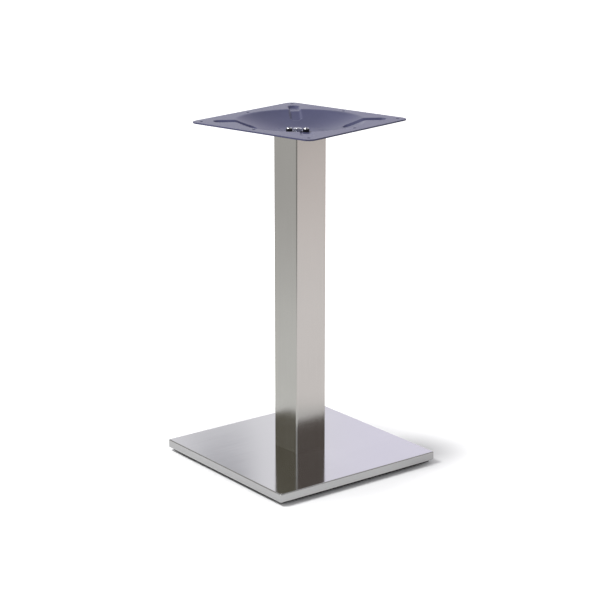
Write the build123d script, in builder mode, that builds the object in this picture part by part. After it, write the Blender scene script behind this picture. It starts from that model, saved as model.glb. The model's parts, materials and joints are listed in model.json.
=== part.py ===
from build123d import *
import math
import os

# Square table pedestal: a brushed pan over a cast ballast plate, a square column and a pressed top plate,
# clamped together by one tie rod. Four levelling feet screw into the ballast plate.
# Millimetres, +Z up. The origin is the middle of the floor under the base, and X and Y run along its sides.

# Overall
total_height = 720.0

# Base cover, a folded pan
base_side = 400.0
cover_top_z = 25.0
cover_skirt = 17.0
cover_sheet = 1.2
cover_fold_radius = 2.0
cover_corner_radius = 1.5

# Ballast plate, one casting
ballast_inset = 5.0
ballast_floor_gap = 3.0
ballast_web = 7.0
ballast_rim = 12.0
ballast_rib = 8.0
ballast_cells = 5
ballast_corner_radius = 6.0
ballast_edge_radius = 1.5
pocket_corner_radius = 5.0
pocket_draft = 3.0
spigot_gap = 1.0
spigot_rise = 10.0
spigot_corner_radius = 4.0
spigot_chamfer = 1.5
spigot_clearance = 0.2
hub_radius = 26.0
hub_lift = 1.0
hub_recess_radius = 15.0

# Column, a square tube
column_side = 76.0
column_wall = 1.5
column_corner_radius = 2.5
column_inner_radius = 1.0

# Head plate, welded inside the top of the column
head_plate_thickness = 6.0
head_plate_clearance = 0.2
head_plate_corner_radius = 2.0

# Top plate, one pressing
plate_side = 315.0
plate_corner_radius = 18.0
plate_sheet = 3.0
plate_turn = 12.5
dish_land = 27.5
dish_depth = 24.0
dish_floor_margin = 1.0
dish_bend_radius = 12.0
dish_wall_radius = 390.0
dish_rim_radius = 14.0
channel_inner_gap = 36.0
channel_outer_gap = 36.0
channel_width = 26.0
channel_floor_width = 17.0
channel_depth = 4.5
channel_headroom = 3.0
channel_metal_top = 1.0
channel_corner_radius = 2.5
channel_bend_radius = 22.0
channel_count = 4
channel_turn = 45.0
screw_hole_radius = 3.5
screw_hole_edge = 17.5

# Fixings in the dish, on the column's diagonal from corner to corner
fixing_angle = -45.0
fixing_offset = -4.7
fixing_spacing = 34.6
screw_thread_radius = 4.0
screw_length = 16.0
screw_head_radius = 6.5
screw_head_height = 8.0
screw_head_chamfer = 0.8
screw_end_chamfer = 0.8
screw_socket_flats = 6.0
screw_socket_depth = 4.0
screw_hole_clearance = 0.5
tapped_clearance = 0.05

# Tie rod and its nuts
rod_radius = 5.0
rod_hole_clearance = 0.5
rod_end_chamfer = 0.8
rod_top_stand = 0.8
rod_bottom_stand = 1.0
rod_floor_gap = 3.0
nut_flats = 17.0
nut_bore_clearance = 0.05
top_nut_height = 5.0
bottom_nut_height = 8.0
nut_chamfer_angle = 30.0
nut_flat_turn = 30.0
washer_radius = 10.0
washer_thickness = 2.0
washer_bore_clearance = 0.25

# Levelling feet
foot_boss_radius = 12.0
foot_running_gap = 0.3
foot_thread_clearance = 0.1
stud_radius = 4.0
stud_top_gap = 1.0
stud_end_chamfer = 0.6
stud_collar_flats = 13.0
stud_collar_height = 2.4
stud_flange_radius = 7.0
stud_flange_height = 2.0
pad_radius = 17.0
pad_height = 6.0
pad_floor = 2.0
pad_shoulder_radius = 10.0
pad_skirt_height = 3.0
pad_edge_radius = 1.0

# Worked out from the sizes above
cover_under_z = cover_top_z - cover_sheet
skirt_end_z = cover_top_z - cover_skirt
ballast_side = base_side - 2 * ballast_inset
ballast_height = cover_under_z - ballast_floor_gap
web_under_z = cover_under_z - ballast_web
pocket_depth = web_under_z - ballast_floor_gap
cell_pitch = (ballast_side - 2 * ballast_rim + ballast_rib) / ballast_cells
cell_side = cell_pitch - ballast_rib
foot_pitch = cell_pitch * (ballast_cells - 1)
column_inside = column_side - 2 * column_wall
spigot_side = column_inside - 2 * spigot_gap
spigot_top_z = cover_top_z + spigot_rise
plate_under_z = total_height - plate_sheet
dish_floor_z = total_height - dish_depth
column_top_z = dish_floor_z - plate_sheet
dish_radius = plate_side / 2 - dish_land
dish_floor_radius = column_side / math.sqrt(2) + dish_floor_margin
dish_run = dish_radius - dish_floor_radius
wall_chord = math.hypot(dish_run, dish_depth)
wall_slope = math.degrees(math.atan2(dish_depth, dish_run))
wall_half_turn = math.degrees(math.asin(wall_chord / 2 / dish_wall_radius))
wall_foot_angle = wall_slope - wall_half_turn
wall_turn = 2 * wall_half_turn
screw_hole_reach = plate_side - 2 * screw_hole_edge
channel_inner_radius = dish_floor_radius + channel_inner_gap
channel_outer_radius = screw_hole_reach / math.sqrt(2) - channel_outer_gap
washer_top_z = dish_floor_z + washer_thickness
rod_top_z = washer_top_z + top_nut_height + rod_top_stand
bottom_nut_z = rod_floor_gap + rod_bottom_stand
bottom_washer_z = bottom_nut_z + bottom_nut_height
hub_seat_z = bottom_washer_z + washer_thickness
hub_bottom_z = ballast_floor_gap + hub_lift
stud_top_z = cover_under_z - stud_top_gap
stud_flange_z = pad_floor + foot_running_gap
stud_collar_z = pad_height + foot_running_gap
foot_boss_z = stud_collar_z + stud_collar_height + foot_running_gap

os.makedirs("parts", exist_ok=True)


def write(solid: Part, name: str) -> None:
    """Labels one finished piece and writes its STEP file."""
    solid.label = name
    export_step(solid, f"parts/{name}.step")


def fixing_point(along: float) -> tuple[float, float]:
    """Gives the point in plan that lies a distance along the column's diagonal from its middle."""
    turn = math.radians(fixing_angle)
    return along * math.cos(turn), along * math.sin(turn)


rod_point = fixing_point(fixing_offset)
left_screw_point = fixing_point(fixing_offset - fixing_spacing / 2)
right_screw_point = fixing_point(fixing_offset + fixing_spacing / 2)
screw_points = [left_screw_point, right_screw_point]

# Base cover: a pan folded from sheet, open below, with a square hole that the ballast's spigot fills
with BuildPart() as base_cover:
    with BuildSketch(Plane.XY.offset(skirt_end_z)):
        RectangleRounded(base_side, base_side, cover_corner_radius)
    extrude(amount=cover_skirt)
    fillet(base_cover.faces().sort_by(Axis.Z)[-1].edges(), cover_fold_radius)
    offset(amount=-cover_sheet, openings=base_cover.faces().sort_by(Axis.Z)[0])
    with BuildSketch(Plane.XY.offset(cover_under_z)):
        RectangleRounded(
            spigot_side + 2 * spigot_clearance,
            spigot_side + 2 * spigot_clearance,
            spigot_corner_radius + spigot_clearance,
        )
    extrude(amount=cover_sheet, mode=Mode.SUBTRACT)
write(base_cover.part, "base_cover")

# Ballast plate: a casting with a grid of pockets below, a spigot that locates the column, a hub for the
# tie rod and a boss in each corner pocket for a levelling foot
with BuildPart() as ballast_plate:
    with BuildSketch(Plane.XY.offset(ballast_floor_gap)):
        RectangleRounded(ballast_side, ballast_side, ballast_corner_radius)
    extrude(amount=ballast_height)
    fillet(ballast_plate.faces().sort_by(Axis.Z)[0].edges(), ballast_edge_radius)
    with BuildSketch(Plane.XY.offset(ballast_floor_gap)):
        with GridLocations(cell_pitch, cell_pitch, ballast_cells, ballast_cells):
            RectangleRounded(cell_side, cell_side, pocket_corner_radius)
    extrude(amount=pocket_depth, taper=pocket_draft, mode=Mode.SUBTRACT)
    with BuildSketch(Plane.XY.offset(cover_under_z)):
        RectangleRounded(spigot_side, spigot_side, spigot_corner_radius)
    extrude(amount=spigot_top_z - cover_under_z)
    chamfer(ballast_plate.faces().sort_by(Axis.Z)[-1].edges(), spigot_chamfer)
    with BuildSketch(Plane.XY.offset(hub_bottom_z)):
        with Locations(rod_point):
            Circle(hub_radius)
    extrude(amount=web_under_z - hub_bottom_z)
    with BuildSketch(Plane.XY.offset(hub_bottom_z)):
        with Locations(rod_point):
            Circle(hub_recess_radius)
    extrude(amount=hub_seat_z - hub_bottom_z, mode=Mode.SUBTRACT)
    with BuildSketch(Plane.XY.offset(foot_boss_z)):
        with GridLocations(foot_pitch, foot_pitch, 2, 2):
            Circle(foot_boss_radius)
    extrude(amount=web_under_z - foot_boss_z)
    with BuildSketch(Plane.XY.offset(ballast_floor_gap)):
        with GridLocations(foot_pitch, foot_pitch, 2, 2):
            Circle(stud_radius + foot_thread_clearance)
        with Locations(rod_point):
            Circle(rod_radius + rod_hole_clearance)
    extrude(amount=spigot_top_z - ballast_floor_gap, mode=Mode.SUBTRACT)
write(ballast_plate.part, "ballast_plate")

# Column: a square tube that stands on the cover, round the spigot
with BuildPart() as column_tube:
    with BuildSketch(Plane.XY.offset(cover_top_z)):
        RectangleRounded(column_side, column_side, column_corner_radius)
        RectangleRounded(column_inside, column_inside, column_inner_radius, mode=Mode.SUBTRACT)
    extrude(amount=column_top_z - cover_top_z)
write(column_tube.part, "column_tube")

# Head plate: closes the top of the tube, tapped for the two screws
with BuildPart() as column_head_plate:
    with BuildSketch(Plane.XY.offset(column_top_z - head_plate_thickness)):
        RectangleRounded(
            column_inside - 2 * head_plate_clearance,
            column_inside - 2 * head_plate_clearance,
            head_plate_corner_radius,
        )
        with Locations(*screw_points):
            Circle(screw_thread_radius + tapped_clearance, mode=Mode.SUBTRACT)
        with Locations(rod_point):
            Circle(rod_radius + rod_hole_clearance, mode=Mode.SUBTRACT)
    extrude(amount=head_plate_thickness)
write(column_head_plate.part, "column_head_plate")

# The dish's wall is one shallow arc in section, bent up from the floor and steepest at the rim
wall_centre = (
    dish_floor_radius - dish_wall_radius * math.sin(math.radians(wall_foot_angle)),
    dish_floor_z + dish_wall_radius * math.cos(math.radians(wall_foot_angle)),
)


def channel_path() -> Wire:
    """Draws the middle line of a channel on the plate's upper face, from near the corner into the dish."""
    end_angle = math.degrees(math.asin((channel_inner_radius - wall_centre[0]) / dish_wall_radius))
    with BuildLine(Plane.XZ) as route:
        flat = Line((channel_outer_radius, total_height), (dish_radius, total_height))
        CenterArc(wall_centre, dish_wall_radius, end_angle - 90, wall_foot_angle + wall_turn - end_angle)
        fillet(route.vertices().sort_by_distance(flat @ 1)[0], channel_bend_radius)
    return route.wires()[0]


def channel_section() -> Sketch:
    """Draws the section of a channel's hollow, y downwards: sloping sides and a flat floor."""
    slope = (channel_width - channel_floor_width) / (2 * channel_depth)
    top_half = channel_width / 2 + channel_headroom * slope
    floor_half = channel_floor_width / 2
    with BuildSketch() as section:
        with BuildLine():
            sides = FilletPolyline(
                (top_half, -channel_headroom),
                (floor_half, channel_depth),
                (-floor_half, channel_depth),
                (-top_half, -channel_headroom),
                radius=channel_corner_radius,
            )
            Line(sides @ 1, sides @ 0)
        make_face()
    return section.sketch


def channel_metal_section() -> Sketch:
    """Draws the section of the metal round a channel, which starts a little below the plate's upper face."""
    with BuildSketch() as section:
        add(channel_section())
        offset(amount=plate_sheet)
        with Locations((0, channel_metal_top - plate_side / 2)):
            Rectangle(plate_side, plate_side, mode=Mode.SUBTRACT)
    return section.sketch


def run_channel(section: Sketch) -> Part:
    """Runs a section along a channel's middle line and turns it at both ends, which makes them round."""
    path = channel_path()
    ends = [Plane(origin=path @ place, x_dir=(0, 1, 0), z_dir=path % place) for place in (0, 1)]
    with BuildPart() as channel:
        with BuildSketch(ends[0]):
            add(section)
        sweep(path=path)
        for end, turning in zip(ends, (1, -1)):
            with BuildSketch(end):
                add(section)
                with Locations((-plate_side / 2, 0)):
                    Rectangle(plate_side, plate_side, mode=Mode.SUBTRACT)
            revolve(axis=Axis(end.origin, end.y_dir * turning), revolution_arc=180)
    return channel.part


# The hollow of one channel, and the metal that wraps its underside
channel_hollow = run_channel(channel_section())
channel_metal = run_channel(channel_metal_section())

# Top plate: a flat sheet with a round dish pressed in its middle and a channel towards each corner
with BuildPart() as top_plate:
    with BuildSketch(Plane.XZ):
        with BuildLine() as face_line:
            floor_line = Line((0, dish_floor_z), (dish_floor_radius, dish_floor_z))
            CenterArc(wall_centre, dish_wall_radius, wall_foot_angle - 90, wall_turn)
            flat_line = Line((dish_radius, total_height), (plate_side, total_height))
            fillet(face_line.vertices().sort_by_distance(floor_line @ 1)[0], dish_bend_radius)
            fillet(face_line.vertices().sort_by_distance(flat_line @ 0)[0], dish_rim_radius)
            offset(face_line.line, amount=plate_sheet, side=Side.RIGHT)
        make_face()
    revolve(axis=Axis.Z)
    with BuildSketch(Plane.XY.offset(column_top_z).rotated((0, 0, plate_turn))):
        RectangleRounded(plate_side, plate_side, plate_corner_radius)
    extrude(amount=total_height - column_top_z, mode=Mode.INTERSECT)
    with PolarLocations(0, channel_count, start_angle=plate_turn + channel_turn):
        add(channel_metal)
        add(channel_hollow, mode=Mode.SUBTRACT)
    with BuildSketch(Plane.XY.offset(plate_under_z).rotated((0, 0, plate_turn))):
        with GridLocations(screw_hole_reach, screw_hole_reach, 2, 2):
            Circle(screw_hole_radius)
        with PolarLocations(screw_hole_reach / 2, channel_count):
            Circle(screw_hole_radius)
    extrude(amount=plate_sheet, mode=Mode.SUBTRACT)
    with BuildSketch(Plane.XY.offset(column_top_z)):
        with Locations(*screw_points):
            Circle(screw_thread_radius + screw_hole_clearance)
        with Locations(rod_point):
            Circle(rod_radius + rod_hole_clearance)
    extrude(amount=plate_sheet, mode=Mode.SUBTRACT)
write(top_plate.part, "top_plate")

# Socket head screw, standing on the plane z = 0 with its shank below
with BuildPart() as screw_form:
    Cylinder(screw_head_radius, screw_head_height, align=(Align.CENTER, Align.CENTER, Align.MIN))
    chamfer(screw_form.faces().sort_by(Axis.Z)[-1].edges(), screw_head_chamfer)
    with BuildSketch(Plane.XY.offset(screw_head_height)):
        RegularPolygon(screw_socket_flats / 2, 6, major_radius=False)
    extrude(amount=-screw_socket_depth, mode=Mode.SUBTRACT)
    Cylinder(screw_thread_radius, screw_length, align=(Align.CENTER, Align.CENTER, Align.MAX))
    chamfer(screw_form.faces().sort_by(Axis.Z)[0].edges(), screw_end_chamfer)

for side, (x, y) in zip(("left", "right"), screw_points):
    with BuildPart() as plate_screw:
        with Locations((x, y, dish_floor_z)):
            add(screw_form.part)
    write(plate_screw.part, f"plate_screw_{side}")


def hexagon_nut(height: float) -> Part:
    """Makes a hexagon nut on the plane z = 0, with a flat towards each screw and its corners turned off."""
    corner_radius = nut_flats / math.sqrt(3)
    land_radius = nut_flats / 2
    fall = (corner_radius - land_radius) * math.tan(math.radians(nut_chamfer_angle))
    with BuildPart() as nut:
        with BuildSketch():
            RegularPolygon(nut_flats / 2, 6, major_radius=False, rotation=fixing_angle + nut_flat_turn)
            Circle(rod_radius + nut_bore_clearance, mode=Mode.SUBTRACT)
        extrude(amount=height)
        with BuildSketch(Plane.XZ):
            with BuildLine():
                Polyline(
                    (0, 0),
                    (land_radius, 0),
                    (corner_radius, fall),
                    (corner_radius, height - fall),
                    (land_radius, height),
                    (0, height),
                    close=True,
                )
            make_face()
        revolve(axis=Axis.Z, mode=Mode.INTERSECT)
    return nut.part


def plain_washer() -> Part:
    """Makes a plain washer on the plane z = 0."""
    with BuildPart() as washer:
        with BuildSketch():
            Circle(washer_radius)
            Circle(rod_radius + washer_bore_clearance, mode=Mode.SUBTRACT)
        extrude(amount=washer_thickness)
    return washer.part


# Tie rod: stands beside the axis, through every piece from the ballast's hub to the dish
with BuildPart() as tie_rod:
    with BuildSketch(Plane.XY.offset(rod_floor_gap)):
        with Locations(rod_point):
            Circle(rod_radius)
    extrude(amount=rod_top_z - rod_floor_gap)
    chamfer(tie_rod.edges().filter_by(GeomType.CIRCLE), rod_end_chamfer)
write(tie_rod.part, "tie_rod")

with BuildPart() as tie_rod_top_washer:
    with Locations((*rod_point, dish_floor_z)):
        add(plain_washer())
write(tie_rod_top_washer.part, "tie_rod_top_washer")

with BuildPart() as tie_rod_top_nut:
    with Locations((*rod_point, washer_top_z)):
        add(hexagon_nut(top_nut_height))
write(tie_rod_top_nut.part, "tie_rod_top_nut")

with BuildPart() as tie_rod_bottom_washer:
    with Locations((*rod_point, bottom_washer_z)):
        add(plain_washer())
write(tie_rod_bottom_washer.part, "tie_rod_bottom_washer")

with BuildPart() as tie_rod_bottom_nut:
    with Locations((*rod_point, bottom_nut_z)):
        add(hexagon_nut(bottom_nut_height))
write(tie_rod_bottom_nut.part, "tie_rod_bottom_nut")

# Levelling foot, pad: a moulded disc with a socket that holds the stud's flange
with BuildPart() as pad_form:
    with BuildSketch(Plane.XZ):
        with BuildLine() as pad_outline:
            Polyline(
                (0, 0),
                (pad_radius, 0),
                (pad_radius, pad_skirt_height),
                (pad_shoulder_radius, pad_height),
                (0, pad_height),
                close=True,
            )
        make_face()
        fillet(pad_outline.vertices().group_by(Axis.X)[-1], pad_edge_radius)
    revolve(axis=Axis.Z)
    with BuildSketch(Plane.XY.offset(pad_floor)):
        Circle(stud_flange_radius + foot_running_gap)
    extrude(amount=stud_flange_height + 2 * foot_running_gap, mode=Mode.SUBTRACT)
    with BuildSketch(Plane.XY.offset(pad_floor)):
        Circle(stud_radius + foot_running_gap)
    extrude(amount=pad_height - pad_floor, mode=Mode.SUBTRACT)

# Levelling foot, stud: a flange in the pad's socket, a hexagon collar to turn it by and a threaded shank
with BuildPart() as stud_form:
    with BuildSketch(Plane.XY.offset(stud_flange_z)):
        Circle(stud_flange_radius)
    extrude(amount=stud_flange_height)
    with BuildSketch(Plane.XY.offset(stud_flange_z)):
        Circle(stud_radius)
    extrude(amount=stud_top_z - stud_flange_z)
    chamfer(stud_form.faces().sort_by(Axis.Z)[-1].edges(), stud_end_chamfer)
    with BuildSketch(Plane.XY.offset(stud_collar_z)):
        RegularPolygon(stud_collar_flats / 2, 6, major_radius=False)
    extrude(amount=stud_collar_height)

for number, place in enumerate(GridLocations(foot_pitch, foot_pitch, 2, 2), start=1):
    with BuildPart() as foot_pad:
        with Locations(place):
            add(pad_form.part)
    write(foot_pad.part, f"foot_pad_{number}")
    with BuildPart() as foot_stud:
        with Locations(place):
            add(stud_form.part)
    write(foot_stud.part, f"foot_stud_{number}")
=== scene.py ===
"""Dresses the square table pedestal: brushed steel base and column, pressed top plate, fixings and feet.

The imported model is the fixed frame. Each sub-assembly is a class that makes its meshes and gives them
their finishes. Lengths are in metres and angles in degrees.
"""

import json
import logging
import math
from dataclasses import dataclass, field
from enum import Enum
from typing import Any, Sequence

import bpy
import numpy as np
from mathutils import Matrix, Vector


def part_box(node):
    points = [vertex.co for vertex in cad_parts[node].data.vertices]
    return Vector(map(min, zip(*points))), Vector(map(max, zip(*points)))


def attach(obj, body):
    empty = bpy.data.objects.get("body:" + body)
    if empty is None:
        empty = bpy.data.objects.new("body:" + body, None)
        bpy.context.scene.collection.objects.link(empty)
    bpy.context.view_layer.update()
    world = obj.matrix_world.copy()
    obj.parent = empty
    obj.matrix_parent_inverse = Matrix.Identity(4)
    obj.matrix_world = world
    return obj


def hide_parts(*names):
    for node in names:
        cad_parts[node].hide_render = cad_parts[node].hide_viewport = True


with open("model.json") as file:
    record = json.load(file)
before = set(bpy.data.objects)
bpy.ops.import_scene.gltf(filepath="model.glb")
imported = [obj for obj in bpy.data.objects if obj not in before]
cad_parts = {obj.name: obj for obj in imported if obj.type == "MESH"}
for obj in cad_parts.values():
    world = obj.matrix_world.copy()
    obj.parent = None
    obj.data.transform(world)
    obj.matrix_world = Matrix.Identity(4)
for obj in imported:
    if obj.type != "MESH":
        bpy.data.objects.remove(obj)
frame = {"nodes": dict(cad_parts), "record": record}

log = logging.getLogger("pedestal")

FOOT_NUMBERS = (1, 2, 3, 4)
RGB = tuple[float, float, float]
Span = tuple[float, float]
Piece = bpy.types.Object
NOISE_MIDDLE = 0.5
BLACK: RGB = (0.0, 0.0, 0.0)
WHITE: RGB = (1.0, 1.0, 1.0)
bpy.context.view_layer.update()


class Grain(Enum):
    """The direction in which a steel piece was brushed."""

    LEVEL = "level"
    UPRIGHT = "upright"


class Shader:
    """Builds one node tree out of Python expressions."""

    def __init__(self, tree: bpy.types.NodeTree) -> None:
        """Takes a tree and clears it.

        Args:
            tree: The material's or world's node tree.
        """
        self.tree = tree
        self.tree.nodes.clear()

    def node(self, kind: str, settings: dict[str, Any] | None = None, **inputs: Any) -> bpy.types.Node:
        """Adds one node, sets it and fills its sockets.

        Args:
            kind: The node's type, without its ShaderNode prefix.
            settings: Properties that are set before the sockets.
            inputs: Values or links, by the socket's name with low lines for blanks, or by n and its number.

        Returns:
            The new node.
        """
        made = self.tree.nodes.new("ShaderNode" + kind)
        for name, value in (settings or {}).items():
            setattr(made, name, value)
        for name, value in inputs.items():
            self.fill(self.socket(made, name), value)
        return made

    @staticmethod
    def socket(made: bpy.types.Node, name: str) -> bpy.types.NodeSocket:
        """Finds an input.

        Args:
            made: The node.
            name: The input's name with low lines for blanks, or n and its number.

        Returns:
            The input.
        """
        if name[0] == "n" and name[1:].isdigit():
            return made.inputs[int(name[1:])]
        return made.inputs[name.replace("_", " ")]

    def fill(self, socket: bpy.types.NodeSocket, value: Any) -> None:
        """Links a socket to a wrapped one, or sets its value.

        Args:
            socket: The input to fill.
            value: A wrapped output, a bare output, a number, or a vector or colour.
        """
        if isinstance(value, Value):
            self.tree.links.new(value.socket, socket)
        elif isinstance(value, bpy.types.NodeSocket):
            self.tree.links.new(value, socket)
        elif socket.type == "RGBA" and len(value) == 3:
            socket.default_value = (*value, 1.0)
        else:
            socket.default_value = value

    def value(self, kind: str, output: str | int = 0, **rest: Any) -> "Value":
        """Adds a node and wraps one of its outputs.

        Args:
            kind: The node's type.
            output: The output's name or number.
            rest: What the method node takes.

        Returns:
            The wrapped output.
        """
        return Value(self, self.node(kind, **rest).outputs[output])

    def product(self, first: Any, second: Any) -> "Value":
        """Multiplies two vectors or colours, part by part."""
        return self.value("VectorMath", settings={"operation": "MULTIPLY"}, n0=first, n1=second)

    def scaled(self, vector: Any, factor: Any) -> "Value":
        """Multiplies a vector or colour by a number."""
        return self.value("VectorMath", settings={"operation": "SCALE"}, n0=vector, Scale=factor)

    def dot(self, first: Any, second: Any) -> "Value":
        """Gives how far one vector reaches along another."""
        return self.value("VectorMath", "Value", settings={"operation": "DOT_PRODUCT"}, n0=first, n1=second)

    def length(self, vector: Any) -> "Value":
        """Gives the length of a vector."""
        return self.value("VectorMath", "Value", settings={"operation": "LENGTH"}, n0=vector)

    def mix(self, factor: Any, first: Any, second: Any) -> "Value":
        """Mixes two colours by a factor, through the Mix node's colour sockets."""
        return self.value("Mix", 2, settings={"data_type": "RGBA"}, n0=factor, n6=first, n7=second)

    def ramp(self, factor: Any, span: Span) -> "Value":
        """Rises smoothly from 0 at the span's start to 1 at its end."""
        smooth = {"interpolation_type": "SMOOTHSTEP"}
        return self.value("MapRange", settings=smooth, Value=factor, From_Min=span[0], From_Max=span[1])

    def noise(self, place: Any, scale: float, detail: float = 2.0) -> "Value":
        """Adds a noise that runs from 0 to 1."""
        return self.value("TexNoise", Vector=place, Scale=scale, Detail=detail)

    def bump(self, height: "Value", depth: float) -> bpy.types.NodeSocket:
        """Turns a height from 0 to 1 into a normal, with the depth in metres."""
        return self.node("Bump", Height=height, Distance=depth).outputs[0]


class Value:
    """A socket that Python's operators work on."""

    def __init__(self, shader: Shader, socket: bpy.types.NodeSocket) -> None:
        """Wraps one output socket."""
        self.shader = shader
        self.socket = socket

    def math(self, operation: str, first: Any, second: Any = 0.0) -> "Value":
        """Adds a Math node on two numbers."""
        return self.shader.value("Math", settings={"operation": operation}, n0=first, n1=second)

    def __add__(self, other: Any) -> "Value":
        """Adds."""
        return self.math("ADD", self, other)

    def __radd__(self, other: Any) -> "Value":
        """Adds from the left."""
        return self.math("ADD", other, self)

    def __sub__(self, other: Any) -> "Value":
        """Takes away."""
        return self.math("SUBTRACT", self, other)

    def __rsub__(self, other: Any) -> "Value":
        """Is taken away."""
        return self.math("SUBTRACT", other, self)

    def __mul__(self, other: Any) -> "Value":
        """Multiplies."""
        return self.math("MULTIPLY", self, other)

    def __rmul__(self, other: Any) -> "Value":
        """Multiplies from the left."""
        return self.math("MULTIPLY", other, self)

    def __abs__(self) -> "Value":
        """Drops the sign."""
        return self.math("ABSOLUTE", self)


class Finish:
    """What every finish does: makes one material and gives it to pieces.

    Noises are sized in cells per metre, and depths are in metres.
    """

    name: str

    def paint(self, shader: Shader, place: Value) -> dict[str, Any]:
        """Works out the surface's sockets.

        Args:
            shader: The material's shader.
            place: The point on the piece, in metres.

        Returns:
            Values or links by the Principled shader's socket names.
        """
        raise NotImplementedError

    def material(self) -> bpy.types.Material:
        """Makes the material, or finds the one made before.

        Returns:
            The finish's material.
        """
        found = bpy.data.materials.get(self.name)
        if found:
            return found
        made = bpy.data.materials.new(self.name)
        made.use_nodes = True
        shader = Shader(made.node_tree)
        place = shader.value("TexCoord", "Object")
        surface = shader.node("BsdfPrincipled", **self.paint(shader, place))
        shader.node("OutputMaterial", Surface=surface.outputs[0])
        return made

    def dress(self, piece: Piece) -> None:
        """Gives the material to a piece in place of its own."""
        piece.data.materials.clear()
        piece.data.materials.append(self.material())


@dataclass(frozen=True)
class BrushedSteel(Finish):
    """Stainless steel brushed in one direction, with soft clouds where it was handled and wiped."""

    name: str
    colour: RGB
    grain: Grain
    roughness: float
    fine: float = 1500.0
    streaks: float = 260.0
    along: float = 7.0
    cloud: float = 7.0
    detail: float = 3.0
    scratch_depth: float = 0.0000025
    faces_sideways: Span = (0.6, 0.7)
    tone_swing: float = 0.06
    cloud_swing: float = 0.10
    roughness_swing: float = 0.05

    def lines(self, shader: Shader, place: Value, fineness: float) -> Value:
        """Stretches a noise into long lines along the grain.

        Args:
            shader: The material's shader.
            place: The point on the piece.
            fineness: Lines per metre across the grain.

        Returns:
            A number from -0.5 to 0.5.
        """
        if self.grain is Grain.UPRIGHT:
            stretched = shader.product(place, (fineness, fineness, self.along))
        else:
            normal = shader.value("TexCoord", "Normal")
            faces_x = shader.ramp(abs(shader.value("SeparateXYZ", "X", Vector=normal)), self.faces_sideways)
            along_x = shader.product(place, (self.along, fineness, fineness))
            along_y = shader.product(place, (fineness, self.along, fineness))
            stretched = shader.mix(faces_x, along_x, along_y)
        return shader.noise(stretched, 1.0, self.detail) - NOISE_MIDDLE

    def paint(self, shader: Shader, place: Value) -> dict[str, Any]:
        """Works out the tone, the gloss and the scratches.

        Args:
            shader: The material's shader.
            place: The point on the piece.

        Returns:
            Values or links by socket name.
        """
        fine = self.lines(shader, place, self.fine)
        streaks = self.lines(shader, place, self.streaks)
        clouds = shader.noise(place, self.cloud, self.detail) - NOISE_MIDDLE
        tone = 1.0 + (fine + streaks) * self.tone_swing + clouds * self.cloud_swing
        return {
            "Base_Color": shader.scaled(self.colour, tone),
            "Metallic": 1.0,
            "Roughness": self.roughness + (clouds + streaks + fine) * self.roughness_swing,
            "Normal": shader.bump(fine, self.scratch_depth),
        }


@dataclass(frozen=True)
class PlateCoating(Finish):
    """Semi-gloss blue-grey coating on the pressed plate, with a fine orange peel."""

    name: str = "coated_plate"
    colour: RGB = (0.070, 0.072, 0.134)
    pale: RGB = (0.080, 0.082, 0.150)
    refraction: float = 1.24
    roughness: float = 0.30
    roughness_swing: float = 0.12
    cloud: float = 14.0
    cloud_detail: float = 4.0
    cloud_edges: Span = (0.3, 0.7)
    peel: float = 900.0
    peel_detail: float = 1.0
    peel_depth: float = 0.000006

    def paint(self, shader: Shader, place: Value) -> dict[str, Any]:
        """Works out the tone, the gloss and the orange peel.

        Args:
            shader: The material's shader.
            place: The point on the piece.

        Returns:
            Values or links by socket name.
        """
        clouds = shader.noise(place, self.cloud, self.cloud_detail)
        peel = shader.noise(place, self.peel, self.peel_detail)
        return {
            "Base_Color": shader.mix(shader.ramp(clouds, self.cloud_edges), self.colour, self.pale),
            "Roughness": self.roughness + (clouds - NOISE_MIDDLE) * self.roughness_swing,
            "IOR": self.refraction,
            "Normal": shader.bump(peel, self.peel_depth),
        }


@dataclass(frozen=True)
class MottledFinish(Finish):
    """A finish that drifts between two tones, with a grain of its own and a varying gloss."""

    name: str
    colour: RGB
    second: RGB
    metallic: float
    roughness: float
    mottle: float
    grain: float
    grain_depth: float
    mottle_detail: float = 4.0
    mottle_edges: Span = (0.35, 0.65)
    grain_detail: float = 3.0
    roughness_swing: float = 0.1

    def paint(self, shader: Shader, place: Value) -> dict[str, Any]:
        """Works out the tones, the gloss and the grain.

        Args:
            shader: The material's shader.
            place: The point on the piece.

        Returns:
            Values or links by socket name.
        """
        mottling = shader.noise(place, self.mottle, self.mottle_detail)
        grain = shader.noise(place, self.grain, self.grain_detail)
        return {
            "Base_Color": shader.mix(shader.ramp(mottling, self.mottle_edges), self.colour, self.second),
            "Metallic": self.metallic,
            "Roughness": self.roughness + (mottling - NOISE_MIDDLE) * self.roughness_swing,
            "Normal": shader.bump(grain, self.grain_depth),
        }


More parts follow.
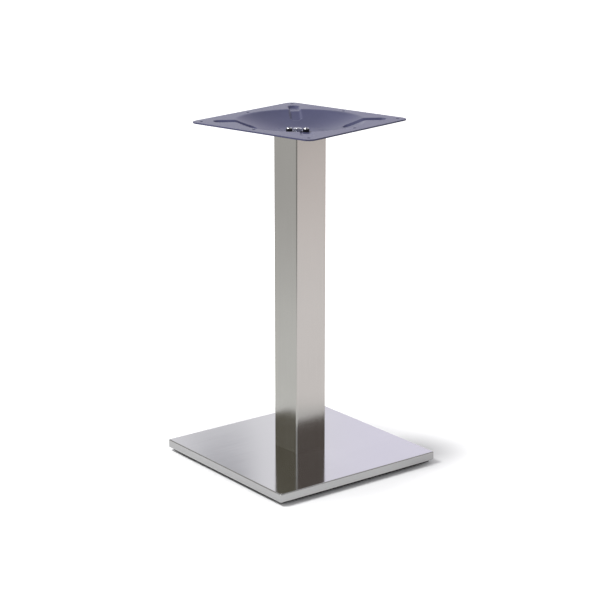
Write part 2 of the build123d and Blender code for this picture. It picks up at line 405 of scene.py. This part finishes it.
@dataclass(frozen=True)
class BlackOxide(Finish):
    """Black oxide on a screw, with a painted highlight: the faces of its head that point up get a pale
    metallic colour.
    """

    name: str = "black_oxide"
    colour: RGB = (0.008, 0.008, 0.010)
    # pale colour of the painted highlight on the faces that point up
    top_highlight_colour: RGB = (0.55, 0.55, 0.58)
    roughness: float = 0.30
    roughness_swing: float = 0.10
    mottle: float = 400.0
    mottle_detail: float = 3.0
    top_highlight_slope: Span = (0.45, 0.75)
    top_highlight_unevenness: float = 0.3
    grain: float = 1500.0
    grain_depth: float = 0.00001

    def paint(self, shader: Shader, place: Value) -> dict[str, Any]:
        """Works out the painted highlight on the head's top, by how far the surface faces up.

        Args:
            shader: The material's shader.
            place: The point on the piece.

        Returns:
            Values or links by socket name.
        """
        up = shader.value("SeparateXYZ", "Z", Vector=shader.value("TexCoord", "Normal"))
        mottling = shader.noise(place, self.mottle, self.mottle_detail) - NOISE_MIDDLE
        # painted highlight: faces that point up turn pale and metallic in place of the black oxide, standing
        # in for the light they catch
        top_highlight_mask = shader.ramp(up + mottling * self.top_highlight_unevenness, self.top_highlight_slope)
        return {
            "Base_Color": shader.mix(top_highlight_mask, self.colour, self.top_highlight_colour),
            "Metallic": top_highlight_mask,
            "Roughness": self.roughness + mottling * self.roughness_swing,
            "Normal": shader.bump(shader.noise(place, self.grain), self.grain_depth),
        }


BRUSHED_COVER = BrushedSteel("brushed_cover", (0.59, 0.59, 0.59), Grain.LEVEL, roughness=0.10)
BRUSHED_COLUMN = BrushedSteel("brushed_column", (0.56, 0.555, 0.53), Grain.UPRIGHT, roughness=0.17)
COATED_PLATE = PlateCoating()
CAST_IRON = MottledFinish(
    "cast_ballast",
    colour=(0.010, 0.010, 0.011),
    second=(0.018, 0.017, 0.016),
    metallic=0.0,
    roughness=0.6,
    mottle=60.0,
    grain=420.0,
    grain_depth=0.0003,
)
MILL_STEEL = MottledFinish(
    "mill_steel",
    colour=(0.20, 0.20, 0.205),
    second=(0.28, 0.27, 0.26),
    metallic=1.0,
    roughness=0.45,
    mottle=40.0,
    grain=900.0,
    grain_depth=0.00003,
)
BLACK_OXIDE = BlackOxide()
ZINC_PLATE = MottledFinish(
    "zinc_plate",
    colour=(0.56, 0.57, 0.60),
    second=(0.46, 0.47, 0.50),
    metallic=1.0,
    roughness=0.26,
    mottle=160.0,
    grain=900.0,
    grain_depth=0.00001,
)
MOULDED = MottledFinish(
    "moulded_plastic",
    colour=(0.018, 0.018, 0.019),
    second=(0.024, 0.024, 0.024),
    metallic=0.0,
    roughness=0.5,
    mottle=120.0,
    grain=1600.0,
    grain_depth=0.00004,
)


def body_of(node: str) -> str:
    """Finds the body that a node moves with."""
    bodies = frame["record"]["behaviour"]["bodies"]
    return next(body for body, members in bodies.items() if node in members)


def shown_mesh(name: str, places: Sequence[Sequence[float]], faces: Sequence[Sequence[int]]) -> Piece:
    """Makes a mesh object that is smooth up to its true edges.

    Args:
        name: The object's name.
        places: The points.
        faces: Each face as its points' numbers, seen from outside against the clock.

    Returns:
        The new object, in the scene.
    """
    edge_angle = math.radians(32.0)
    mesh = bpy.data.meshes.new(name)
    mesh.from_pydata(places, [], faces)
    mesh.validate()
    mesh.shade_smooth()
    mesh.set_sharp_from_angle(angle=edge_angle)
    made = bpy.data.objects.new(name, mesh)
    bpy.context.scene.collection.objects.link(made)
    return made


class Assembly:
    """A group of pieces that is built and dressed together."""

    def keep(self, node: str, finish: Finish) -> Piece:
        """Dresses a CAD node whose shape is the real one.

        Args:
            node: The node's name.
            finish: Its finish.

        Returns:
            The node's object.
        """
        piece = frame["nodes"][node]
        finish.dress(piece)
        return piece

    def stand_for(self, piece: Piece, node: str, finish: Finish) -> Piece:
        """Shows a finer piece in place of a CAD node.

        Args:
            piece: The finer piece.
            node: The node that it stands for.
            finish: Its finish.

        Returns:
            The same piece.
        """
        finish.dress(piece)
        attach(piece, body_of(node))
        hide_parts(node)
        return piece


@dataclass
class Skin:
    """The points and faces of a mesh that is joined ring by ring."""

    points: list[np.ndarray] = field(default_factory=list)
    faces: list[Sequence[int]] = field(default_factory=list)

    def add(self, x: np.ndarray, y: np.ndarray, heights: np.ndarray) -> np.ndarray:
        """Adds points.

        Args:
            x: Their places, first direction.
            y: Their places, second direction.
            heights: Their heights.

        Returns:
            The points' numbers.
        """
        start = sum(len(part) for part in self.points)
        self.points.append(np.stack([x, y, heights], axis=-1))
        return np.arange(start, start + len(x))

    def band(self, upper: np.ndarray, lower: np.ndarray) -> None:
        """Joins two rings that run against the clock.

        Args:
            upper: The upper or inner ring's numbers.
            lower: The lower or outer ring's numbers.
        """
        for a, b, c, d in zip(upper, lower, np.roll(lower, -1), np.roll(upper, -1)):
            self.faces.append((int(a), int(b), int(c), int(d)))


@dataclass
class Turning:
    """Rings stacked on an upright axis, as a lathe and a mill leave them."""

    name: str
    x: float
    y: float
    around: int = 36
    rings: list[tuple[float | np.ndarray, float]] = field(default_factory=list)

    def angles(self) -> np.ndarray:
        """Gives the angle of each point of a ring, in radians."""
        return np.arange(self.around) * math.tau / self.around

    def ring(self, radius: float | np.ndarray, height: float) -> None:
        """Adds a ring of one radius, or of one radius for each point."""
        self.rings.append((radius, height))

    def hexagon(self, flats: float) -> np.ndarray:
        """Gives the radius of a hexagon at each point.

        Args:
            flats: The hexagon's width across flats.

        Returns:
            One radius for each point of a ring.
        """
        sixth = math.tau / 6
        off_flat = (self.angles() + sixth / 2) % sixth - sixth / 2
        return flats / 2 / np.cos(off_flat)

    def thread(self, low: float, high: float, crest: float, pitch: float) -> None:
        """Adds a screw thread that runs out at both ends.

        Args:
            low: The height where it starts.
            high: The height where it ends.
            crest: The outer radius.
            pitch: The rise of one turn.
        """
        steps_per_turn = 6
        depth_per_pitch = 0.613
        count = round((high - low) / pitch * steps_per_turn)
        for height in np.linspace(low, high, count + 1):
            turn = (height / pitch - self.angles() / math.tau) % 1.0
            run_out = min(1.0, (height - low) / pitch, (high - height) / pitch)
            groove = depth_per_pitch * pitch * run_out * (1.0 - abs(2.0 * turn - 1.0))
            self.ring(crest - groove, float(height))

    def build(self) -> Piece:
        """Joins the rings into one closed mesh.

        Returns:
            The new object.
        """
        cosines, sines = np.cos(self.angles()), np.sin(self.angles())
        places = []
        for radius, height in self.rings:
            across, deep = self.x + radius * cosines, self.y + radius * sines
            places += [(float(a), float(d), height) for a, d in zip(across, deep)]
        faces = []
        for low in range(0, (len(self.rings) - 1) * self.around, self.around):
            for index in range(self.around):
                beside = (index + 1) % self.around
                high = low + self.around
                faces.append((low + index, low + beside, high + beside, high + index))
        last = len(places)
        faces.append(tuple(reversed(range(self.around))))
        faces.append(tuple(range(last - self.around, last)))
        return shown_mesh(self.name, places, faces)


def middle(node: str) -> tuple[float, float]:
    """Gives the middle of a node in plan."""
    low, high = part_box(node)
    return (low.x + high.x) / 2, (low.y + high.y) / 2


@dataclass
class Base(Assembly):
    """The brushed pan and the cast ballast plate under it."""

    def build(self) -> list[Piece]:
        """Dresses the pan and the casting.

        Returns:
            Both pieces.
        """
        return [self.keep("base_cover", BRUSHED_COVER), self.keep("ballast_plate", CAST_IRON)]


@dataclass
class Column(Assembly):
    """The square tube and the plate that closes its head."""

    def build(self) -> list[Piece]:
        """Dresses the tube and its head plate.

        Returns:
            Both pieces.
        """
        return [self.keep("column_tube", BRUSHED_COLUMN), self.keep("column_head_plate", MILL_STEEL)]


@dataclass
class TopPlate(Assembly):
    """The pressed plate: a flat square rim, a round dish and a channel towards each corner."""

    side: float = 0.315
    sheet: float = 0.003
    turn: float = 12.5
    corner_radius: float = 0.018
    edge_round: float = 0.0004
    dish_radius: float = 0.130
    dish_floor_radius: float = 0.05474
    dish_depth: float = 0.024
    floor_slope: float = 11.9
    rim_slope: float = 23.5
    floor_bend: float = 0.0013
    rim_bend: float = 0.0040
    channel_inner: float = 0.0990
    channel_outer: float = 0.1620
    channel_top_edge: float = 0.0137
    channel_floor_edge: float = 0.0080
    channel_depth: float = 0.0045
    channel_wall_angle: float = 45.0
    hole_radius: float = 0.0035
    hole_edge: float = 0.0175
    screw_hole_radius: float = 0.0045
    rod_hole_radius: float = 0.0055
    hole_margin_cells: float = 0.6
    cells: int = 210
    profile_samples: int = 4000

    def slope(self, radius: np.ndarray) -> np.ndarray:
        """Gives how steeply the dish falls at a radius.

        Args:
            radius: Distances from the plate's middle.

        Returns:
            The fall for each step inwards.
        """
        stops = [
            self.dish_floor_radius - self.floor_bend,
            self.dish_floor_radius + self.floor_bend,
            self.dish_radius - self.rim_bend,
            self.dish_radius + self.rim_bend,
        ]
        angles = np.radians([0.0, self.floor_slope, self.rim_slope, 0.0])
        return np.interp(radius, stops, np.tan(angles))

    def fall(self, radius: np.ndarray) -> np.ndarray:
        """Gives how far the pressed face lies below the rim at a radius.

        Args:
            radius: Distances from the plate's middle.

        Returns:
            Depths, from 0 on the rim to the dish's depth.
        """
        samples = np.linspace(0.0, self.side, self.profile_samples)
        climbed = np.cumsum(self.slope(samples))
        return np.interp(radius, samples, (1.0 - climbed / climbed[-1]) * self.dish_depth)

    def channels(self, x: np.ndarray, y: np.ndarray, shift: float) -> np.ndarray:
        """Gives how deep the four channels are sunk, from 0 beside them to 1 on their floors.

        Args:
            x: Places along the plate's first side.
            y: Places along its second side.
            shift: How far both edges are moved outwards.

        Returns:
            Shares of the channels' depth.
        """
        along = (abs(x) + abs(y)) / math.sqrt(2)
        aside = (abs(x) - abs(y)) / math.sqrt(2)
        past_end = along - np.clip(along, self.channel_inner, self.channel_outer)
        away = np.hypot(past_end, aside) - shift
        rise = (self.channel_top_edge - away) / (self.channel_top_edge - self.channel_floor_edge)
        share = np.clip(rise, 0.0, 1.0)
        return share * share * (3.0 - 2.0 * share)

    def heights(self, x: np.ndarray, y: np.ndarray, under: bool) -> np.ndarray:
        """Gives the height of one of the plate's faces.

        Args:
            x: Places along the plate's first side.
            y: Places along its second side.
            under: Whether it is the lower face.

        Returns:
            Heights above the floor.
        """
        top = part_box("top_plate")[1].z
        radius = np.hypot(x, y)
        stretch = np.hypot(1.0, self.slope(radius))
        shift = self.sheet * math.tan(math.radians(self.channel_wall_angle / 2)) if under else 0.0
        sunk = self.channel_depth * self.channels(x, y, shift) + (self.sheet if under else 0.0)
        return top - self.fall(radius) - sunk * stretch

    def grid(self) -> tuple[np.ndarray, np.ndarray]:
        """Lays a square grid over the plate, drawn in at the corners so that they come out round.

        Returns:
            The places along both sides, each as a square array.
        """
        reach = self.side / 2 - self.edge_round
        core = self.side / 2 - self.corner_radius
        x, y = np.meshgrid(*[np.linspace(-reach, reach, self.cells + 1)] * 2, indexing="ij")
        over_x, over_y = np.clip(abs(x) - core, 0.0, None), np.clip(abs(y) - core, 0.0, None)
        hair = 1e-9
        length = np.maximum(np.hypot(over_x, over_y), hair)
        draw_in = np.where((over_x > 0) & (over_y > 0), np.maximum(over_x, over_y) / length, 1.0)
        x = np.sign(x) * (abs(x) - over_x + over_x * draw_in)
        y = np.sign(y) * (abs(y) - over_y + over_y * draw_in)
        return x, y

    def holes(self) -> list[tuple[float, float, float]]:
        """Lists the holes in the plate's own directions.

        Returns:
            Each hole's place and radius.
        """
        reach = self.side / 2 - self.hole_edge
        spots = [(i * reach, j * reach) for i in (-1, 0, 1) for j in (-1, 0, 1) if i or j]
        found = [(*spot, self.hole_radius) for spot in spots]
        back = math.radians(-self.turn)
        fixings = {
            "plate_screw_left": self.screw_hole_radius,
            "plate_screw_right": self.screw_hole_radius,
            "tie_rod": self.rod_hole_radius,
        }
        for node, radius in fixings.items():
            x, y = middle(node)
            turned = (x * math.cos(back) - y * math.sin(back), x * math.sin(back) + y * math.cos(back))
            found.append((*turned, radius))
        return found

    def edge_rings(self, x: np.ndarray, y: np.ndarray) -> list[tuple[np.ndarray, np.ndarray, float]]:
        """Works out the rings of the plate's rounded outer edge, from the top down.

        Args:
            x: The grid's border, first direction.
            y: The grid's border, second direction.

        Returns:
            Each ring's places and its depth below the top.
        """
        core = self.side / 2 - self.corner_radius
        out_x, out_y = x - np.clip(x, -core, core), y - np.clip(y, -core, core)
        length = np.hypot(out_x, out_y)
        half = math.sqrt(0.5)
        steps = [(half, 1 - half), (1.0, 1.0)]
        rings = [(out * self.edge_round, down * self.edge_round) for out, down in steps]
        rings += [(out, self.sheet - down) for out, down in reversed(rings)]
        return [(x + out_x / length * out, y + out_y / length * out, down) for out, down in rings]

    def border(self, low_i: int, high_i: int, low_j: int, high_j: int) -> tuple[np.ndarray, np.ndarray]:
        """Lists the border of a block of the grid against the clock.

        Args:
            low_i: The block's first row.
            high_i: Its last row.
            low_j: Its first column.
            high_j: Its last column.

        Returns:
            The grid's two indices for each point of the border.
        """
        rows, columns = high_i - low_i, high_j - low_j
        i = [*range(low_i, high_i), *[high_i] * columns, *range(high_i, low_i, -1), *[low_i] * columns]
        j = [*[low_j] * rows, *range(low_j, high_j), *[high_j] * rows, *range(high_j, low_j, -1)]
        return np.array(i), np.array(j)

    def turned(self, places: np.ndarray) -> np.ndarray:
        """Turns points from the plate's own directions to where it stands on the column.

        Args:
            places: The points, one a row.

        Returns:
            The turned points.
        """
        ahead = math.radians(self.turn)
        x, y = places[:, 0], places[:, 1]
        turned_x = x * math.cos(ahead) - y * math.sin(ahead)
        turned_y = x * math.sin(ahead) + y * math.cos(ahead)
        return np.stack([turned_x, turned_y, places[:, 2]], axis=-1)

    def open_holes(self, skin: Skin, x: np.ndarray, y: np.ndarray) -> np.ndarray:
        """Lines each hole and joins it to the grid round it.

        Args:
            skin: The mesh so far, with both faces' points in it.
            x: The grid's places, first direction.
            y: The grid's places, second direction.

        Returns:
            Which of the grid's cells stay.
        """
        numbers = np.arange(x.size).reshape(x.shape)
        solid = np.ones((self.cells, self.cells), bool)
        edge = self.side / 2 - self.edge_round
        pitch = 2 * edge / self.cells
        for hole_x, hole_y, radius in self.holes():
            i, j = (round((place + edge) / pitch) for place in (hole_x, hole_y))
            half = math.ceil(radius / pitch + self.hole_margin_cells)
            block = self.border(i - half, i + half, j - half, j + half)
            solid[i - half : i + half, j - half : j + half] = False
            angles = np.arctan2(y[block] - hole_y, x[block] - hole_x)
            ring_x, ring_y = hole_x + radius * np.cos(angles), hole_y + radius * np.sin(angles)
            top = skin.add(ring_x, ring_y, self.heights(ring_x, ring_y, under=False))
            under = skin.add(ring_x, ring_y, self.heights(ring_x, ring_y, under=True))
            skin.band(top, numbers[block])
            skin.band(numbers[block] + x.size, under)
            skin.band(under, top)
        return solid

    def mesh(self) -> Piece:
        """Builds both faces as fine grids and joins them at the outer edge and in the holes.

        Returns:
            The plate.
        """
        x, y = self.grid()
        skin = Skin()
        numbers = skin.add(x.ravel(), y.ravel(), self.heights(x, y, False).ravel()).reshape(x.shape)
        skin.add(x.ravel(), y.ravel(), self.heights(x, y, True).ravel())
        outline = self.border(0, self.cells, 0, self.cells)
        upper = numbers[outline]
        top = float(skin.points[0][:, 2].max())
        for ring_x, ring_y, down in self.edge_rings(x[outline], y[outline]):
            lower = skin.add(ring_x, ring_y, np.full(len(ring_x), top - down))
            skin.band(upper, lower)
            upper = lower
        skin.band(upper, numbers[outline] + x.size)
        i, j = np.nonzero(self.open_holes(skin, x, y))
        corners = [numbers[i, j], numbers[i + 1, j], numbers[i + 1, j + 1], numbers[i, j + 1]]
        skin.faces += np.stack(corners, axis=-1).tolist()
        skin.faces += (np.stack(corners[::-1], axis=-1) + x.size).tolist()
        return shown_mesh("pressed_plate", self.turned(np.concatenate(skin.points)).tolist(), skin.faces)

    def build(self) -> list[Piece]:
        """Builds and dresses the plate.

        Returns:
            The plate alone.
        """
        return [self.stand_for(self.mesh(), "top_plate", COATED_PLATE)]


@dataclass
class DishFixings(Assembly):
    """The two socket head screws and the tie rod with its nuts and washers."""

    head_height: float = 0.008
    head_chamfer: float = 0.0014
    head_base: float = 0.0006
    knurl_depth: float = 0.0003
    knurl_ridges: int = 30
    knurl_ends: tuple[float, float] = (0.0006, 0.0062)
    socket_flats: float = 0.006
    socket_depth: float = 0.004
    socket_lead: float = 0.0004
    shank_radius: float = 0.004
    shank_pitch: float = 0.00125
    end_chamfer: float = 0.0008
    rod_pitch: float = 0.0015
    rod_thread: float = 0.045

    def screw(self, node: str) -> Piece:
        """Builds a socket head screw with a knurled head.

        Args:
            node: The CAD node that it stands for.

        Returns:
            The screw.
        """
        low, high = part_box(node)
        seat = high.z - self.head_height
        head = (high.x - low.x) / 2
        form = Turning(node + "_knurled", *middle(node), around=4 * self.knurl_ridges)
        form.ring(self.shank_radius - self.end_chamfer, low.z)
        form.ring(self.shank_radius, low.z + self.end_chamfer)
        form.thread(low.z + self.end_chamfer, seat - self.shank_pitch, self.shank_radius, self.shank_pitch)
        form.ring(self.shank_radius, seat)
        form.ring(head - self.knurl_depth, seat)
        form.ring(head - self.knurl_depth, seat + self.head_base / 2)
        ridges = head - self.knurl_depth * (1 + np.cos(self.knurl_ridges * form.angles())) / 2
        for height in self.knurl_ends:
            form.ring(ridges, seat + height)
        form.ring(head - self.knurl_depth, high.z - self.head_chamfer)
        form.ring(head - self.knurl_depth - self.head_chamfer, high.z)
        form.ring(form.hexagon(self.socket_flats) + self.socket_lead, high.z)
        form.ring(form.hexagon(self.socket_flats), high.z - self.socket_lead)
        form.ring(form.hexagon(self.socket_flats), high.z - self.socket_depth)
        return self.stand_for(form.build(), node, BLACK_OXIDE)

    def rod(self) -> Piece:
        """Builds the tie rod, threaded at both ends.

        Returns:
            The rod.
        """
        low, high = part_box("tie_rod")
        radius = (high.x - low.x) / 2
        form = Turning("threaded_tie_rod", *middle("tie_rod"))
        form.ring(radius - self.end_chamfer, low.z)
        form.ring(radius, low.z + self.end_chamfer)
        form.thread(low.z + self.end_chamfer, low.z + self.rod_thread, radius, self.rod_pitch)
        form.thread(high.z - self.rod_thread, high.z - self.end_chamfer, radius, self.rod_pitch)
        form.ring(radius - self.end_chamfer, high.z)
        return self.stand_for(form.build(), "tie_rod", ZINC_PLATE)

    def build(self) -> list[Piece]:
        """Builds the screws and the rod, and dresses the nuts and washers.

        Returns:
            All pieces.
        """
        made = [self.screw("plate_screw_left"), self.screw("plate_screw_right"), self.rod()]
        for node in ("tie_rod_top_nut", "tie_rod_top_washer", "tie_rod_bottom_nut", "tie_rod_bottom_washer"):
            made.append(self.keep(node, ZINC_PLATE))
        return made


@dataclass
class LevellingFoot(Assembly):
    """One foot: a moulded pad and a stud with a flange, a hexagon collar and a threaded shank."""

    number: int
    shank_radius: float = 0.004
    shank_pitch: float = 0.00125
    flange_height: float = 0.002
    flange_round: float = 0.0003
    flange_beyond_flats: float = 0.0005
    collar_flats: float = 0.013
    collar_foot: float = 0.004
    collar_height: float = 0.0024
    collar_bevel: float = 30.0
    end_chamfer: float = 0.0006

    def stud(self) -> Piece:
        """Builds the stud.

        Returns:
            The stud.
        """
        node = f"foot_stud_{self.number}"
        low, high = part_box(node)
        form = Turning(node + "_threaded", *middle(node))
        flat = self.collar_flats / 2
        flange = flat + self.flange_beyond_flats
        collar = form.hexagon(self.collar_flats)
        collar_low = low.z + self.collar_foot
        collar_high = collar_low + self.collar_height
        fall = (float(collar.max()) - flat) * math.tan(math.radians(self.collar_bevel))
        form.ring(flange - self.flange_round, low.z)
        form.ring(flange, low.z + self.flange_round)
        form.ring(flange, low.z + self.flange_height - self.flange_round)
        form.ring(flange - self.flange_round, low.z + self.flange_height)
        form.ring(self.shank_radius, low.z + self.flange_height)
        form.ring(self.shank_radius, collar_low)
        form.ring(flat, collar_low)
        form.ring(collar, collar_low + fall)
        form.ring(collar, collar_high - fall)
        form.ring(flat, collar_high)
        form.ring(self.shank_radius, collar_high)
        form.thread(collar_high, high.z - self.end_chamfer, self.shank_radius, self.shank_pitch)
        form.ring(self.shank_radius - self.end_chamfer, high.z)
        return self.stand_for(form.build(), node, ZINC_PLATE)

    def build(self) -> list[Piece]:
        """Builds the stud and dresses the pad.

        Returns:
            Both pieces.
        """
        return [self.stud(), self.keep(f"foot_pad_{self.number}", MOULDED)]


@dataclass
class Studio:
    """The floor, the surroundings, the lamp and the camera."""

    azimuth: float = -37.36
    elevation: float = 15.71
    distance: float = 3.718
    focal_length: float = 107.92
    look_height: float = 0.344
    floor_reach: float = 30.0
    floor_pale: RGB = (0.93, 0.93, 0.93)
    floor_mirrored: RGB = (0.72, 0.72, 0.72)
    floor_glow: float = 0.80
    floor_left_near: RGB = (0.81, 0.81, 0.80)
    floor_left_far: RGB = (0.58, 0.57, 0.56)
    floor_right_near: RGB = (1.00, 0.95, 0.96)
    floor_right_far: RGB = (0.92, 0.84, 0.83)
    floor_front: RGB = (0.30, 0.29, 0.28)
    left_fade: Span = (0.5, 2.6)
    right_fade: Span = (1.2, 3.0)
    side_fade: Span = (-0.5, 0.5)
    front_fade: Span = (0.7, 2.0)
    glow_fade: Span = (0.23, 0.45)
    mirrored_fade: Span = (0.27, 0.45)
    backdrop_left: RGB = (1.02, 1.01, 1.06)
    backdrop_right: RGB = (1.00, 0.965, 1.12)
    backdrop_fold: RGB = (0.50, 0.50, 0.54)
    backdrop_change: Span = (-0.02, 0.04)
    fold_start: Span = (-0.080, -0.042)
    fold_end: Span = (-0.038, -0.018)
    fold_foot: Span = (0.330, 0.355)
    panel_left: RGB = (0.175, 0.158, 0.118)
    panel_right: RGB = (0.17, 0.14, 0.13)
    walls: RGB = (0.52, 0.52, 0.54)
    upper_walls: RGB = (0.52, 0.52, 0.53)
    ceiling: RGB = (0.06, 0.06, 0.06)
    panel_change: Span = (-0.6, 0.6)
    panel_edge: Span = (0.13, 0.20)
    backdrop_edge: Span = (-0.75, -0.55)
    upper_walls_start: Span = (0.42, 0.56)
    ceiling_start: Span = (0.80, 0.90)
    lamp_power: float = 135.0
    lamp_size: float = 1.2
    lamp_place: tuple[float, float, float] = (-1.9, 1.1, 3.4)

    def towards_camera(self) -> Vector:
        """Gives the level direction from the object to the camera."""
        turn = math.radians(self.azimuth)
        return Vector((math.sin(turn), -math.cos(turn), 0.0))

    def across_camera(self) -> Vector:
        """Gives the level direction to the camera's right."""
        turn = math.radians(self.azimuth)
        return Vector((math.cos(turn), math.sin(turn), 0.0))

    def panel_side(self) -> tuple[float, float, float]:
        """Gives the level direction square to the line between the two dark panels."""
        turn = math.radians(-self.azimuth)
        return (math.cos(turn), math.sin(turn), 0.0)

    def build(self) -> None:
        """Makes the whole studio."""
        bpy.context.scene.view_settings.view_transform = "Standard"
        self.camera()
        self.floor()
        self.surroundings()
        self.lamp()

    def camera(self) -> None:
        """Stands the camera where the photograph was taken from."""
        rise = math.radians(self.elevation)
        back = self.towards_camera() * math.cos(rise) + Vector((0.0, 0.0, math.sin(rise)))
        data = bpy.data.cameras.new("camera")
        data.lens = self.focal_length
        camera = bpy.data.objects.new("camera", data)
        camera.location = Vector((0.0, 0.0, self.look_height)) + back * self.distance
        camera.rotation_euler = (-back).to_track_quat("-Z", "Y").to_euler()
        bpy.context.scene.collection.objects.link(camera)
        bpy.context.scene.camera = camera

    def floor(self) -> None:
        """Lays the pale floor.

        Away from the object it glows white to the camera and in its own tones to the steel, so that the
        column mirrors a room's floor. Near the object only the lamp and the room light it.
        """
        reach = self.floor_reach
        mesh = bpy.data.meshes.new("floor")
        corners = [(-reach, -reach, 0), (reach, -reach, 0), (reach, reach, 0), (-reach, reach, 0)]
        mesh.from_pydata(corners, [], [(0, 1, 2, 3)])
        floor = bpy.data.objects.new("floor", mesh)
        bpy.context.scene.collection.objects.link(floor)
        material = bpy.data.materials.new("floor")
        material.use_nodes = True
        shader = Shader(material.node_tree)
        path = shader.node("LightPath")
        seen = Value(shader, path.outputs["Is Camera Ray"])
        mirrored = Value(shader, path.outputs["Is Glossy Ray"])
        through = Value(shader, path.outputs["Is Transmission Ray"])
        place = shader.value("TexCoord", "Object")
        sideways = shader.dot(place, tuple(self.across_camera()))
        forward = shader.dot(place, tuple(self.towards_camera()))
        away = shader.length(place)
        left = shader.mix(shader.ramp(away, self.left_fade), self.floor_left_near, self.floor_left_far)
        right = shader.mix(shader.ramp(away, self.right_fade), self.floor_right_near, self.floor_right_far)
        tone = shader.mix(shader.ramp(sideways, self.side_fade), left, right)
        tone = shader.mix(shader.ramp(forward, self.front_fade), tone, self.floor_front)
        own_light = mirrored * shader.ramp(away, self.mirrored_fade)
        lit_tone = shader.mix(mirrored, self.floor_pale, self.floor_mirrored)
        diffuse = shader.node("BsdfDiffuse", Color=shader.mix(own_light, lit_tone, BLACK))
        strength = own_light + (seen + through) * shader.ramp(away, self.glow_fade) * self.floor_glow
        glow = shader.node("Emission", Color=shader.mix(mirrored, WHITE, tone), Strength=strength)
        both = shader.node("AddShader", n0=diffuse.outputs[0], n1=glow.outputs[0])
        shader.node("OutputMaterial", Surface=both.outputs[0])
        mesh.materials.append(material)

    def surroundings(self) -> None:
        """Makes a room round the object, white to the camera.

        A bright backdrop with one soft fold stands behind the object, and a dark panel on either hand is
        what the column's foot mirrors. The walls are grey and the ceiling is dark.
        """
        world = bpy.data.worlds.new("studio")
        bpy.context.scene.world = world
        world.use_nodes = True
        shader = Shader(world.node_tree)
        direction = shader.value("TexCoord", "Generated")
        facing = shader.dot(direction, tuple(self.towards_camera()))
        sideways = shader.dot(direction, tuple(self.across_camera()))
        height = shader.value("SeparateXYZ", "Z", Vector=direction)
        change = shader.ramp(sideways, self.backdrop_change)
        backdrop = shader.mix(change, self.backdrop_left, self.backdrop_right)
        fold = shader.ramp(sideways, self.fold_start) * (1.0 - shader.ramp(sideways, self.fold_end))
        backdrop = shader.mix(fold * shader.ramp(height, self.fold_foot), backdrop, self.backdrop_fold)
        panel = shader.mix(shader.ramp(sideways, self.panel_change), self.panel_left, self.panel_right)
        across_panel = abs(shader.dot(direction, self.panel_side()))
        room = shader.mix(shader.ramp(across_panel, self.panel_edge), panel, self.walls)
        room = shader.mix(shader.ramp(facing, self.backdrop_edge), backdrop, room)
        room = shader.mix(shader.ramp(height, self.upper_walls_start), room, self.upper_walls)
        room = shader.mix(shader.ramp(height, self.ceiling_start), room, self.ceiling)
        path = shader.node("LightPath")
        seen = Value(shader, path.outputs["Is Camera Ray"])
        colour = shader.mix(seen, room, WHITE)
        background = shader.node("Background", Color=colour, Strength=1.0)
        shader.node("OutputWorld", Surface=background.outputs[0])

    def lamp(self) -> None:
        """Hangs one large soft lamp to the left, aimed at the object's foot."""
        data = bpy.data.lights.new("soft_lamp", "AREA")
        data.shape = "SQUARE"
        data.size = self.lamp_size
        data.energy = self.lamp_power
        lamp = bpy.data.objects.new("soft_lamp", data)
        lamp.location = self.lamp_place
        lamp.rotation_euler = Vector(self.lamp_place).to_track_quat("Z", "Y").to_euler()
        bpy.context.scene.collection.objects.link(lamp)


def main() -> None:
    """Builds the pedestal's looks in order."""
    logging.basicConfig(level=logging.INFO, format="%(message)s")
    feet = [LevellingFoot(number) for number in FOOT_NUMBERS]
    for assembly in (Base(), Column(), TopPlate(), DishFixings(), *feet):
        for piece in assembly.build():
            log.info("%s: %s", type(assembly).__name__, piece.name)
    Studio().build()


if __name__ == "__main__":
    main()
